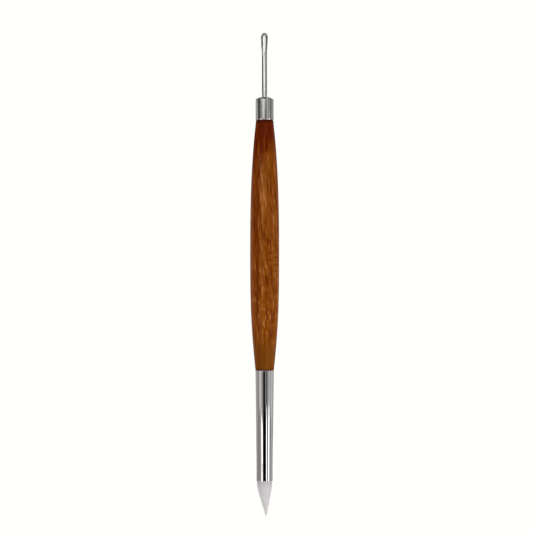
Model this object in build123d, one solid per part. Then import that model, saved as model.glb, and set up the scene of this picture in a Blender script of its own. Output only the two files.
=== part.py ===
from build123d import *
import os

# Double-ended clay modelling tool, in millimetres.
# The long axis is Z. The steel scoop points up (+Z) and the soft silicone point
# points down (-Z). The origin is on the axis at mid-length, inside the grip.
# The open face of the scoop looks towards -Y.

# ---------------------------------------------------------------- overall
LENGTH = 165.0
Z_TOP = LENGTH / 2            # crown of the scoop
Z_BOTTOM = -LENGTH / 2        # end of the silicone point
ROD_R = 0.86                  # steel rod, shared by the handle bore and the collar hole

# ---------------------------------------------------------------- turned wooden handle
SHOULDER_TOP_Z = 52.40        # shoulder below the collar
SHOULDER_LOW_Z = -32.68       # shoulder above the long ferrule
END_TOP_R = 3.01              # barrel radius at the upper shoulder
END_LOW_R = 3.17              # barrel radius at the lower shoulder
GRIP_R = 4.955                # largest barrel radius
EDGE_BREAK = 0.16             # broken corner at both shoulders
# (z, radius) down the barrel, a long cigar with its belly just above mid-length
BARREL = [
    (SHOULDER_TOP_Z - EDGE_BREAK, END_TOP_R),
    (51.55, 3.065), (50.10, 3.205), (48.14, 3.425), (45.40, 3.675), (41.50, 3.985),
    (37.20, 4.265), (31.70, 4.545), (26.30, 4.735), (20.80, 4.857), (14.00, 4.930),
    (5.00, GRIP_R),
    (-1.10, 4.928), (-6.50, 4.856), (-12.00, 4.716), (-17.50, 4.442),
    (-22.95, 4.068), (-28.40, 3.590), (-31.30, 3.300),
    (SHOULDER_LOW_Z + EDGE_BREAK, END_LOW_R),
]
BARREL_STEPS = 60             # fine cone bands that make up the barrel
TENON_TOP_R = 2.67            # upper spigot, inside the collar
TENON_TOP_END_Z = 59.15
TENON_LOW_R0 = 2.73           # lower spigot, at the shoulder
TENON_LOW_R1 = 2.51           # lower spigot, at its end chamfer
TENON_LOW_END_Z = -52.0
TENON_CHAMFER = 0.4
ROD_BORE_R = ROD_R + 0.08     # blind hole for the rod, from the upper spigot's end
ROD_BORE_END_Z = 37.6

# ---------------------------------------------------------------- collar (short cap ferrule)
COLLAR_R = 3.06
COLLAR_WALL = 0.31
COLLAR_BORE_R = COLLAR_R - COLLAR_WALL
COLLAR_JOINT = 0.15           # gap between the handle shoulder and the mouth
COLLAR_LOW_Z = SHOULDER_TOP_Z + COLLAR_JOINT
COLLAR_SHOULDER_Z = 59.82     # where the straight wall meets the cone
COLLAR_TOP_Z = 60.47
COLLAR_FLAT_R = 1.45          # small flat round the rod hole
COLLAR_FLAT_EASE = (0.35, 0.07)  # (outward, down) of the break at the flat's edge
# (inset from COLLAR_R, height above COLLAR_SHOULDER_Z) of the rounded shoulder
COLLAR_EDGE = [(0.22, 0.13), (0.06, 0.04), (0, -0.10)]
LIP_H = 0.75                  # height of a turned-in mouth
LIP_IN = 0.17                 # how far the collar mouth turns in
# (inset from COLLAR_R, height above COLLAR_LOW_Z) of the turned-in mouth
COLLAR_LIP = [(0, LIP_H), (0.03, 0.40), (0.09, 0.15), (LIP_IN, 0)]
COLLAR_BORE_EDGE_Z = COLLAR_SHOULDER_Z - 0.45  # foot of the cone that ends the bore
COLLAR_BORE_CONE_H = 0.35
COLLAR_BORE_FLAT_R = COLLAR_FLAT_R + 0.1
COLLAR_BORE_CHAMFER = 0.15
COLLAR_HOLE_R = ROD_R + 0.03
COLLAR_HOLE_CUT = 12          # cutter length, from the mouth out through the top

# ---------------------------------------------------------------- scoop rod
ROD_END_Z = ROD_BORE_END_Z + 0.5  # buried end, clear of the bore's floor
ROD_END_CHAMFER = 0.25
FLARE_Z = 74.6                # the round rod starts to flatten here
# (z, half width, half thickness) of the pressed scoop
SCOOP = [
    (FLARE_Z, ROD_R, ROD_R),
    (76.0, 0.888, 0.770),
    (77.5, 0.965, 0.670),
    (79.2, 1.060, 0.580),
    (80.6, 1.128, 0.525),
    (81.35, 1.135, 0.500),
    (81.90, 1.000, 0.465),
    (82.22, 0.755, 0.410),
    (82.42, 0.430, 0.300),
    (Z_TOP, 0.090, 0.100),
]
SCOOP_STEPS = 26              # straight spans between the oval sections
# (z, half width, y of the floor) of the trough pressed in the front of the scoop:
# it runs out just above the round rod and stops short of the crown
TROUGH = [
    (75.00, 0.060, -0.800),
    (76.00, 0.250, -0.590),
    (77.50, 0.390, -0.330),
    (79.20, 0.490, -0.150),
    (80.60, 0.545, -0.080),
    (81.20, 0.550, -0.085),
    (81.65, 0.450, -0.150),
    (81.93, 0.220, -0.290),
    (82.03, 0.060, -0.410),
]
TROUGH_PROUD = 0.03           # the cutter's centre line stands this far off the face
TROUGH_STEPS = 20

# ---------------------------------------------------------------- long ferrule
FERRULE_JOINT = 0.16          # gap between the handle shoulder and the upper mouth
FERRULE_TOP_Z = SHOULDER_LOW_Z - FERRULE_JOINT
FERRULE_LOW_Z = -70.60
FERRULE_TOP_R = 3.125
FERRULE_LOW_R = 2.735
FERRULE_PARALLEL_Z = -64.4    # below this the ferrule is a true cylinder
FERRULE_WALL = 0.29
FERRULE_BORE_LOW_R = FERRULE_LOW_R - FERRULE_WALL
FERRULE_TOP_IN = 0.15         # how far the upper mouth turns in
FERRULE_LOW_IN = 0.13         # how far the lower mouth turns in
# (inset from FERRULE_TOP_R, depth below FERRULE_TOP_Z)
FERRULE_TOP_LIP = [(FERRULE_TOP_IN, 0), (0.07, 0.14), (0.02, 0.36)]
# (inset from FERRULE_LOW_R, height above FERRULE_LOW_Z)
FERRULE_LOW_LIP = [(0, 0.30), (0.03, 0.12), (FERRULE_LOW_IN, 0)]

# ---------------------------------------------------------------- silicone point
TIP_JOINT = 0.06              # gap between the ferrule and the point's shoulder
TIP_SHOULDER_Z = FERRULE_LOW_Z - TIP_JOINT
TIP_SHANK_R = 2.37
TIP_SHANK_TOP_Z = -58.0
TIP_SHANK_CHAMFER = 0.3
# (z, radius, x offset) of the soft point, which leans a little to +X
TIP = [
    (TIP_SHOULDER_Z, 2.610, 0.000),
    (-71.60, 2.560, 0.000),
    (-72.70, 2.440, 0.005),
    (-74.20, 2.150, 0.040),
    (-76.20, 1.690, 0.155),
    (-78.20, 1.215, 0.285),
    (-80.20, 0.735, 0.400),
    (-81.40, 0.440, 0.450),
    (-82.00, 0.315, 0.466),
    (-82.32, 0.215, 0.470),
    (Z_BOTTOM, 0.060, 0.470),
]
TIP_STEPS = 26

# ---------------------------------------------------------------- cured adhesive
BOND_SETBACK = 0.04           # a joint line lies this far inside the metal's rim
COLLAR_BOND_TOP_Z = TENON_TOP_END_Z - 0.6
FERRULE_BOND_LOW_Z = TENON_LOW_END_Z + 1.0
TIP_BOND_TOP_Z = TIP_SHANK_TOP_Z - 0.5


# ================================================================ helpers
def ring(z, half_x, half_y, x=0.0, y=0.0):
    """A flat oval section at height z, truly round where both halves agree."""
    if abs(half_x - half_y) < 1e-9:
        return Pos(x, y, z) * Circle(half_x)
    return Pos(x, y, z) * Ellipse(half_x, half_y)


def smooth(table, z):
    """Every column of a (z, ...) table at height z, on a curve that never overshoots."""
    rows = sorted(table)
    last = len(rows) - 1
    i = next(k for k in range(last) if z <= rows[k + 1][0])
    span = rows[i + 1][0] - rows[i][0]
    t = (z - rows[i][0]) / span

    def slope(k, column):
        return (rows[k + 1][column] - rows[k][column]) / (rows[k + 1][0] - rows[k][0])

    def tangent(k, column):
        """Harmonic mean of the slopes either side of row k, level at a peak or dip."""
        if k == 0:
            return slope(0, column)
        if k == last:
            return slope(last - 1, column)
        before, after = slope(k - 1, column), slope(k, column)
        if before * after <= 0:
            return 0.0
        return 2 * before * after / (before + after)

    # Cubic Hermite curve between rows i and i + 1
    return [
        (2 * t**3 - 3 * t**2 + 1) * rows[i][column]
        + (t**3 - 2 * t**2 + t) * tangent(i, column) * span
        + (-2 * t**3 + 3 * t**2) * rows[i + 1][column]
        + (t**3 - t**2) * tangent(i + 1, column) * span
        for column in range(1, len(rows[0]))
    ]


def stations(table, count):
    """Heights for count spans: every table row, with the longest gaps split first."""
    heights = sorted(row[0] for row in table)
    while len(heights) < count + 1:
        i = max(range(len(heights) - 1), key=lambda k: heights[k + 1] - heights[k])
        heights.insert(i + 1, (heights[i] + heights[i + 1]) / 2)
    return heights


def turned(points):
    """A solid of revolution about Z from (radius, z) corners."""
    outline = Polyline(*[(radius, 0, z) for radius, z in points], close=True)
    return revolve(make_face(outline), Axis.Z)


def upright_cylinder(radius, low_z, height):
    """A cylinder on the Z axis standing on low_z."""
    aligned = (Align.CENTER, Align.CENTER, Align.MIN)
    return Pos(0, 0, low_z) * Cylinder(radius, height, align=aligned)


def ferrule_r(z):
    """Outer radius of the ferrule: a slow taper, then a parallel mouth."""
    if z <= FERRULE_PARALLEL_Z:
        return FERRULE_LOW_R
    share = (z - FERRULE_PARALLEL_Z) / (FERRULE_TOP_Z - FERRULE_PARALLEL_Z)
    return FERRULE_LOW_R + share * (FERRULE_TOP_R - FERRULE_LOW_R)


def tenon_low_r(z):
    """Radius of the lower spigot, which tapers down to its end chamfer."""
    taper_length = SHOULDER_LOW_Z - (TENON_LOW_END_Z + TENON_CHAMFER)
    slope = (TENON_LOW_R0 - TENON_LOW_R1) / taper_length
    return TENON_LOW_R0 - slope * (SHOULDER_LOW_Z - z)


# ================================================================ handle
def make_rod_bore():
    """The blind hole for the rod, as a solid."""
    return upright_cylinder(ROD_BORE_R, ROD_BORE_END_Z, TENON_TOP_END_Z - ROD_BORE_END_Z)


def make_handle():
    heights = reversed(stations(BARREL, BARREL_STEPS))
    barrel = [(smooth(BARREL, z)[0], z) for z in heights]
    blank = turned([
        (0, TENON_TOP_END_Z),
        (TENON_TOP_R - TENON_CHAMFER, TENON_TOP_END_Z),
        (TENON_TOP_R, TENON_TOP_END_Z - TENON_CHAMFER),
        (TENON_TOP_R, SHOULDER_TOP_Z),
        (END_TOP_R - EDGE_BREAK, SHOULDER_TOP_Z),
        *barrel,
        (END_LOW_R - EDGE_BREAK, SHOULDER_LOW_Z),
        (TENON_LOW_R0, SHOULDER_LOW_Z),
        (TENON_LOW_R1, TENON_LOW_END_Z + TENON_CHAMFER),
        (TENON_LOW_R1 - TENON_CHAMFER, TENON_LOW_END_Z),
        (0, TENON_LOW_END_Z),
    ])
    return blank - make_rod_bore()


# ================================================================ collar
def make_collar():
    ease_out, ease_down = COLLAR_FLAT_EASE
    outer = turned([
        (0, COLLAR_TOP_Z),
        (COLLAR_FLAT_R, COLLAR_TOP_Z),
        (COLLAR_FLAT_R + ease_out, COLLAR_TOP_Z - ease_down),
        *[(COLLAR_R - inset, COLLAR_SHOULDER_Z + rise) for inset, rise in COLLAR_EDGE],
        *[(COLLAR_R - inset, COLLAR_LOW_Z + rise) for inset, rise in COLLAR_LIP],
        (0, COLLAR_LOW_Z),
    ])
    inner = turned([
        (0, COLLAR_BORE_EDGE_Z + COLLAR_BORE_CONE_H),
        (COLLAR_BORE_FLAT_R, COLLAR_BORE_EDGE_Z + COLLAR_BORE_CONE_H),
        (COLLAR_BORE_R - COLLAR_BORE_CHAMFER, COLLAR_BORE_EDGE_Z),
        (COLLAR_BORE_R, COLLAR_BORE_EDGE_Z - COLLAR_BORE_CHAMFER),
        (COLLAR_BORE_R, COLLAR_LOW_Z),
        (0, COLLAR_LOW_Z),
    ])
    return outer - inner - upright_cylinder(COLLAR_HOLE_R, COLLAR_LOW_Z, COLLAR_HOLE_CUT)


# ================================================================ scoop rod
def make_shaft():
    """The round part of the rod, chamfered at its buried end."""
    shaft = upright_cylinder(ROD_R, ROD_END_Z, FLARE_Z - ROD_END_Z)
    return chamfer(shaft.edges().sort_by(Axis.Z)[0], ROD_END_CHAMFER)


def make_scoop_rod():
    blade_sections = [ring(z, *smooth(SCOOP, z)) for z in stations(SCOOP, SCOOP_STEPS)]
    blade = loft(blade_sections, ruled=True)
    trough_sections = []
    for z in stations(TROUGH, TROUGH_STEPS):
        half_width, floor_y = smooth(TROUGH, z)
        front_y = -smooth(SCOOP, z)[1] - TROUGH_PROUD
        trough_sections.append(ring(z, half_width, floor_y - front_y, y=front_y))
    trough = loft(trough_sections, ruled=True)
    return (make_shaft() + blade) - trough


# ================================================================ long ferrule
def make_long_ferrule():
    lip_foot_z = FERRULE_TOP_Z - LIP_H
    return turned([
        (FERRULE_TOP_R - FERRULE_WALL, FERRULE_TOP_Z),
        *[(FERRULE_TOP_R - inset, FERRULE_TOP_Z - drop) for inset, drop in FERRULE_TOP_LIP],
        (ferrule_r(lip_foot_z), lip_foot_z),
        (FERRULE_LOW_R, FERRULE_PARALLEL_Z),
        *[(FERRULE_LOW_R - inset, FERRULE_LOW_Z + rise) for inset, rise in FERRULE_LOW_LIP],
        (FERRULE_BORE_LOW_R, FERRULE_LOW_Z),
        (FERRULE_BORE_LOW_R, FERRULE_PARALLEL_Z),
    ])


# ================================================================ silicone point
def make_silicone_tip():
    sections = []
    for z in stations(TIP, TIP_STEPS):
        radius, offset_x = smooth(TIP, z)
        sections.append(ring(z, radius, radius, x=offset_x))
    point = loft(sections, ruled=True)
    shank = upright_cylinder(TIP_SHANK_R, TIP_SHOULDER_Z, TIP_SHANK_TOP_Z - TIP_SHOULDER_Z)
    shank = chamfer(shank.edges().sort_by(Axis.Z)[-1], TIP_SHANK_CHAMFER)
    return point + shank


# ================================================================ cured adhesive
def make_rod_bond():
    """Fills the blind hole round and under the rod."""
    return make_rod_bore() - make_shaft()


def make_collar_bond():
    """Between the upper spigot and the cap, out to the joint line."""
    joint_r = COLLAR_R - LIP_IN - BOND_SETBACK
    return turned([
        (TENON_TOP_R, SHOULDER_TOP_Z),
        (joint_r, SHOULDER_TOP_Z),
        (joint_r, COLLAR_LOW_Z),
        (COLLAR_BORE_R, COLLAR_LOW_Z),
        (COLLAR_BORE_R, COLLAR_BOND_TOP_Z),
        (TENON_TOP_R, COLLAR_BOND_TOP_Z),
    ])


def make_ferrule_bond():
    """Between the tapered spigot and the ferrule, out to the joint line."""
    joint_r = FERRULE_TOP_R - FERRULE_TOP_IN - BOND_SETBACK
    return turned([
        (TENON_LOW_R0, SHOULDER_LOW_Z),
        (joint_r, SHOULDER_LOW_Z),
        (joint_r, FERRULE_TOP_Z),
        (FERRULE_TOP_R - FERRULE_WALL, FERRULE_TOP_Z),
        (ferrule_r(FERRULE_BOND_LOW_Z) - FERRULE_WALL, FERRULE_BOND_LOW_Z),
        (tenon_low_r(FERRULE_BOND_LOW_Z), FERRULE_BOND_LOW_Z),
    ])


def make_tip_bond():
    """Between the silicone shank and the ferrule, and on the shoulder."""
    joint_r = FERRULE_LOW_R - FERRULE_LOW_IN - BOND_SETBACK
    return turned([
        (TIP_SHANK_R, TIP_SHOULDER_Z),
        (joint_r, TIP_SHOULDER_Z),
        (joint_r, FERRULE_LOW_Z),
        (FERRULE_BORE_LOW_R, FERRULE_LOW_Z),
        (FERRULE_BORE_LOW_R, FERRULE_PARALLEL_Z),
        (ferrule_r(TIP_BOND_TOP_Z) - FERRULE_WALL, TIP_BOND_TOP_Z),
        (TIP_SHANK_R, TIP_BOND_TOP_Z),
    ])


# ================================================================ output
os.makedirs("parts", exist_ok=True)
for name, shape in {
    "handle": make_handle(),
    "collar": make_collar(),
    "scoop_rod": make_scoop_rod(),
    "long_ferrule": make_long_ferrule(),
    "silicone_tip": make_silicone_tip(),
    "rod_bond": make_rod_bond(),
    "collar_bond": make_collar_bond(),
    "ferrule_bond": make_ferrule_bond(),
    "tip_bond": make_tip_bond(),
}.items():
    solids = shape.solids()
    export_step(solids[0] if len(solids) == 1 else Compound(solids), f"parts/{name}.step")
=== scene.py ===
"""A double-ended clay modelling tool, standing upright along Z, in metres.

The steel scoop is at the top with its open face to -Y. Below it are a nickel collar, a
turned wooden handle, a chrome ferrule and, at the bottom, a white silicone point.
The camera looks along +Y, so left is -X and right is +X.
"""
import itertools
import math

import bpy
import numpy as np
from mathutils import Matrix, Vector


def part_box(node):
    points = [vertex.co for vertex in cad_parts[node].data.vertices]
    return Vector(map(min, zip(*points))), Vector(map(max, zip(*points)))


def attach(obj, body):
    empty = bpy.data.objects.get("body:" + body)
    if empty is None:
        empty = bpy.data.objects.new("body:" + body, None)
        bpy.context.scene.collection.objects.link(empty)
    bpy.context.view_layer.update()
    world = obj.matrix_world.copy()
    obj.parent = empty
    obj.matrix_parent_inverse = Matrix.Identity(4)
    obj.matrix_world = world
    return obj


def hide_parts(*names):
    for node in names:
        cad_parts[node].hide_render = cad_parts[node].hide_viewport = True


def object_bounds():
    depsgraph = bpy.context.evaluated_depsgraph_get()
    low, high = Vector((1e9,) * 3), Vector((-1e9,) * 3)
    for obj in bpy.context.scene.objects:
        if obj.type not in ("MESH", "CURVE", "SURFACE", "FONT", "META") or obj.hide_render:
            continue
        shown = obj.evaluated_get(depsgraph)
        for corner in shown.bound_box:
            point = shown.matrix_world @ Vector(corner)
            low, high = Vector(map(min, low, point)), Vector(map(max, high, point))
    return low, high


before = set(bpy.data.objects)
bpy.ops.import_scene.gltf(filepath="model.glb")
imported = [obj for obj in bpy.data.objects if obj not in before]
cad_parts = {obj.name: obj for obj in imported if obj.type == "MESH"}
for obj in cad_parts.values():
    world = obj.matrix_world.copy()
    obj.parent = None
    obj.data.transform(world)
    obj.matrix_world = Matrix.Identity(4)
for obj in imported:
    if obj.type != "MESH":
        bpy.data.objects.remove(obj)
CAD_LOW, CAD_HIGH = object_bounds()

MM = 0.001
BODY = "root"


# ---------------------------------------------------------------- reading the CAD
def corners(node):
    """A CAD node's corners as an (n, 3) array, in metres."""
    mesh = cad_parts[node].data
    flat = np.empty(len(mesh.vertices) * 3, np.float32)
    mesh.vertices.foreach_get("co", flat)
    return flat.reshape(-1, 3).astype(float)


def levels(points, low=-math.inf, high=math.inf):
    """Rows of (height, largest radius about Z) of a turned part, from the bottom up."""
    radii = np.hypot(points[:, 0], points[:, 1])
    heights, where = np.unique(np.round(points[:, 2], 6), return_inverse=True)
    widest = np.zeros(len(heights))
    np.maximum.at(widest, where.ravel(), radii)
    keep = (heights >= low - 1e-9) & (heights <= high + 1e-9)
    return np.stack([heights[keep], widest[keep]], 1)


def curve(table, x, column=1):
    """A smooth curve through a table's (column 0, column) points. It never overshoots."""
    known_x, known_y = table[:, 0], table[:, column]
    gaps = np.diff(known_x)
    slopes = np.diff(known_y) / gaps
    tangents = np.zeros(len(known_x))
    tangents[0], tangents[-1] = slopes[0], slopes[-1]
    for k in range(1, len(known_x) - 1):
        if slopes[k - 1] * slopes[k] > 0:
            before = 2 * gaps[k] + gaps[k - 1]
            after = gaps[k] + 2 * gaps[k - 1]
            tangents[k] = (before + after) / (before / slopes[k - 1] + after / slopes[k])
    i = np.clip(np.searchsorted(known_x, x) - 1, 0, len(gaps) - 1)
    t = np.clip((x - known_x[i]) / gaps[i], 0, 1)
    return (
        (2 * t**3 - 3 * t**2 + 1) * known_y[i]
        + (t**3 - 2 * t**2 + t) * gaps[i] * tangents[i]
        + (3 * t**2 - 2 * t**3) * known_y[i + 1]
        + (t**3 - t**2) * gaps[i] * tangents[i + 1]
    )


# ---------------------------------------------------------------- noise for meshes
ORDER = np.tile(np.random.RandomState(11).permutation(256), 2)
SLOPES = np.array(
    [(1, 1, 0), (-1, 1, 0), (1, -1, 0), (-1, -1, 0), (1, 0, 1), (-1, 0, 1),
     (1, 0, -1), (-1, 0, -1), (0, 1, 1), (0, -1, 1), (0, 1, -1), (0, -1, -1)], float)


def swell(x, y, z):
    """Gradient noise, about -1 to 1, for arrays of coordinates."""
    point = np.broadcast_arrays(x, y, z)
    cell = [np.floor(v).astype(int) for v in point]
    inside = [v - c for v, c in zip(point, cell)]
    ease = [t * t * t * (t * (t * 6 - 15) + 10) for t in inside]
    total = 0.0
    for corner in itertools.product((0, 1), repeat=3):
        index = 0
        for axis, side in enumerate(corner):
            index = ORDER[index + ((cell[axis] + side) & 255)]
        slope = SLOPES[index % 12]
        weight, rise = 1.0, 0.0
        for axis, side in enumerate(corner):
            weight = weight * (ease[axis] if side else 1 - ease[axis])
            rise = rise + slope[..., axis] * (inside[axis] - side)
        total = total + weight * rise
    return total


# ---------------------------------------------------------------- mesh building
def filleted(points, closed=False):
    """Rounds the corners of an (r, z, radius) outline with arcs of short steps."""
    out = []
    for i, (r, z, radius) in enumerate(points):
        if radius <= 0 or (not closed and i in (0, len(points) - 1)):
            out.append((r, z))
            continue
        here = Vector((r, z))
        before = Vector(points[i - 1][:2]) - here
        after = Vector(points[(i + 1) % len(points)][:2]) - here
        angle = before.angle(after)
        if angle > math.radians(179):
            out.append((r, z))
            continue
        cut = min(radius / math.tan(angle / 2), 0.49 * before.length, 0.49 * after.length)
        radius = cut * math.tan(angle / 2)
        middle = (before.normalized() + after.normalized()).normalized()
        centre = here + middle * (radius / math.sin(angle / 2))
        start = here + before.normalized() * cut - centre
        end = here + after.normalized() * cut - centre
        steps = max(2, int(math.ceil(math.degrees(math.pi - angle) / 11)))
        sweep = math.atan2(start.x * end.y - start.y * end.x, start.dot(end))
        for k in range(steps + 1):
            cosine, sine = math.cos(sweep * k / steps), math.sin(sweep * k / steps)
            out.append((centre.x + start.x * cosine - start.y * sine,
                        centre.y + start.x * sine + start.y * cosine))
    return out


def spaced(points, step, closed=False, hold=0.06 * MM):
    """Adds rings along an outline's straight runs, with a holding ring at each end."""
    points = list(points) + ([points[0]] if closed else [])
    out = []
    for (r0, z0), (r1, z1) in zip(points, points[1:]):
        out.append((r0, z0))
        length = math.hypot(r1 - r0, z1 - z0)
        if length > 4 * hold:
            count = max(1, int(math.ceil((length - 2 * hold) / step)))
            shares = [hold / length]
            shares += [(hold + (length - 2 * hold) * j / count) / length
                       for j in range(1, count)]
            shares += [1 - hold / length]
            out += [(r0 + (r1 - r0) * t, z0 + (z1 - z0) * t) for t in shares]
    if not closed:
        out.append(points[-1])
    return out


def add_object(name, data):
    thing = bpy.data.objects.new(name, data)
    bpy.context.scene.collection.objects.link(thing)
    return thing


def finish_mesh(name, points, faces, uvs):
    """A smooth-shaded object with one UV map, its faces turned outward."""
    points = np.asarray(points, float)
    fans = np.array([(f[0], f[k], f[k + 1]) for f in faces for k in range(1, len(f) - 1)])
    first, second, third = (points[fans[:, k]] for k in range(3))
    if np.einsum("ij,ij->", first, np.cross(second, third)) < 0:
        faces = [tuple(reversed(f)) for f in faces]
        uvs = [tuple(reversed(face_uvs)) for face_uvs in uvs]
    mesh = bpy.data.meshes.new(name)
    mesh.from_pydata([tuple(p) for p in points], [], faces)
    layer = mesh.uv_layers.new(name="OFBake")
    flat = np.array([uv for face_uvs in uvs for uv in face_uvs], np.float32).ravel()
    layer.data.foreach_set("uv", flat)
    mesh.polygons.foreach_set("use_smooth", [True] * len(mesh.polygons))
    mesh.validate()
    mesh.update()
    return add_object(name, mesh)


def tube_mesh(name, rings, closed=False):
    """Skins a stack of rings, shaped (count, around, 3).

    A ring whose points all coincide becomes one pole. closed joins the last ring
    back to the first.
    """
    margin = 0.003      # of the UV square
    count, sides = rings.shape[:2]
    pole = [bool(np.ptp(ring, axis=0).max() < 1e-9) for ring in rings]
    points, first = [], []
    for i, ring in enumerate(rings):
        first.append(len(points))
        points.extend([ring[0]] if pole[i] else list(ring))
    # v follows the distance along the outline, for an even unwrap
    gaps = np.linalg.norm(np.roll(rings, -1, axis=0) - rings, axis=2).mean(1)
    run = np.concatenate([[0], np.cumsum(gaps if closed else gaps[:-1])])
    run = (margin + (1 - 2 * margin) * run / run[-1]).tolist()
    turn = (margin + (1 - 2 * margin) * np.arange(sides + 1) / sides).tolist()
    faces, uvs = [], []
    for i in range(count if closed else count - 1):
        low, high = first[i], first[(i + 1) % count]
        low_pole, high_pole = pole[i], pole[(i + 1) % count]
        if low_pole and high_pole:
            continue
        v0, v1 = run[i], run[i + 1]
        for j in range(sides):
            j2 = (j + 1) % sides
            u0, u1 = turn[j], turn[j + 1]
            if low_pole:
                faces.append((low, high + j2, high + j))
                uvs.append((((u0 + u1) / 2, v0), (u1, v1), (u0, v1)))
            elif high_pole:
                faces.append((low + j, low + j2, high))
                uvs.append(((u0, v0), (u1, v0), ((u0 + u1) / 2, v1)))
            else:
                faces.append((low + j, low + j2, high + j2, high + j))
                uvs.append(((u0, v0), (u1, v0), (u1, v1), (u0, v1)))
    return finish_mesh(name, points, faces, uvs)


def around(count):
    """Cosines and sines about Z, from the back (+Y) so that the seam is out of sight."""
    angles = math.pi / 2 + 2 * math.pi * np.arange(count) / count
    return np.cos(angles), np.sin(angles)


def turned(name, outline, count, closed=False, shape=None):
    """Turns an (r, z) outline about Z. shape(x, y, z, r) may push r out or in."""
    cosines, sines = around(count)
    rings = np.zeros((len(outline), count, 3))
    for i, (r, z) in enumerate(outline):
        radii = np.full(count, r)
        if shape is not None and r > 1e-9:
            radii = radii + shape(r * cosines, r * sines, z, r)
        rings[i, :, 0], rings[i, :, 1], rings[i, :, 2] = radii * cosines, radii * sines, z
    return tube_mesh(name, rings, closed)


# ---------------------------------------------------------------- measures from the CAD
HANDLE_LOW, HANDLE_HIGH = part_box("handle")
COLLAR_LOW, COLLAR_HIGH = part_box("collar")
FERRULE_LOW, FERRULE_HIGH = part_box("long_ferrule")
ROD_LOW, ROD_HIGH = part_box("scoop_rod")
TIP_LOW, TIP_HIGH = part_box("silicone_tip")

FERRULE_TOP_R = FERRULE_HIGH.x
ROD = ROD_HIGH.y / MM       # rod radius, mm
CROWN = ROD_HIGH.z / MM     # top of the scoop, mm

# the handle's spigots, its two shoulders and its blind hole
handle_points = corners("handle")
handle_z = handle_points[:, 2]
handle_r = np.hypot(handle_points[:, 0], handle_points[:, 1])
SPIGOT_TOP_R = handle_r[handle_z > HANDLE_HIGH.z - 1 * MM].max()
SHOULDER_TOP = handle_z[handle_r > SPIGOT_TOP_R * 1.03].max()
SPIGOT_END_R = handle_r[handle_z < HANDLE_LOW.z + 1 * MM].max()
SHOULDER_LOW = handle_z[handle_r > FERRULE_TOP_R * 0.93].min()
SPIGOT_LOW_R = handle_r[
    (np.abs(handle_z - SHOULDER_LOW) < 0.02 * MM) & (handle_r < FERRULE_TOP_R * 0.93)].max()
BORE_R = handle_r[(handle_z > HANDLE_HIGH.z - 0.01 * MM) & (handle_r > 0.2 * MM)].min()
BORE_END = handle_z[(handle_r > 0.5 * BORE_R) & (handle_r < 1.05 * BORE_R)].min()


def tip_levels():
    """Rows of (height, half width, middle x) of the silicone point."""
    points = corners("silicone_tip")
    rows = []
    for height in np.unique(np.round(points[:, 2], 6)):
        xs = points[np.abs(points[:, 2] - height) < 2e-6, 0]
        if len(xs) >= 8:
            rows.append((height, (xs.max() - xs.min()) / 2, (xs.min() + xs.max()) / 2))
    return np.array(rows)


TIP_ROWS = tip_levels()
SHANK_R = TIP_ROWS[TIP_ROWS[:, 0] > TIP_HIGH.z - 3 * MM, 1].max()
TIP_SHOULDER = TIP_ROWS[TIP_ROWS[:, 1] > SHANK_R * 1.03, 0].max()

# ---------------------------------------------------------------- handle
HANDLE_EDGE = 0.10 * MM                 # softened corner at both shoulders
SEAT_TOP = COLLAR_LOW.z - 0.02 * MM     # the barrel stops just under the collar
BARREL_STEP = 0.27 * MM


def shoulder_corner(radius, z, up):
    """A soft shoulder corner, from just off the flat out to just short of the barrel."""
    angles = [math.pi / 2 * i / 7 for i in range(1, 7)]
    return [(radius - HANDLE_EDGE + HANDLE_EDGE * math.sin(t),
             z + up * (HANDLE_EDGE - HANDLE_EDGE * math.cos(t))) for t in angles]


def hand_finished(x, y, z, r):
    """Faint flats and open grain on the barrel; nothing on the spigots."""
    if (z < SHOULDER_LOW + 0.2 * MM or z > SHOULDER_TOP - 0.2 * MM
            or r < FERRULE_TOP_R * 0.9):
        return 0.0
    ease = min(1.0, (z - SHOULDER_LOW) / (4 * MM), (SHOULDER_TOP - z) / (4 * MM))
    x, y, z = x / MM, y / MM, z / MM
    flats = swell(x * 0.22, y * 0.22, z * 0.045) * 0.016
    # shallow grain troughs, long in Z
    grain = swell(x * 3.1 + 7.3, y * 3.1, z * 0.16)
    troughs = np.maximum(0.0, grain - 0.22) * 0.022
    return (flats - troughs - 0.004) * ease * MM


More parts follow.
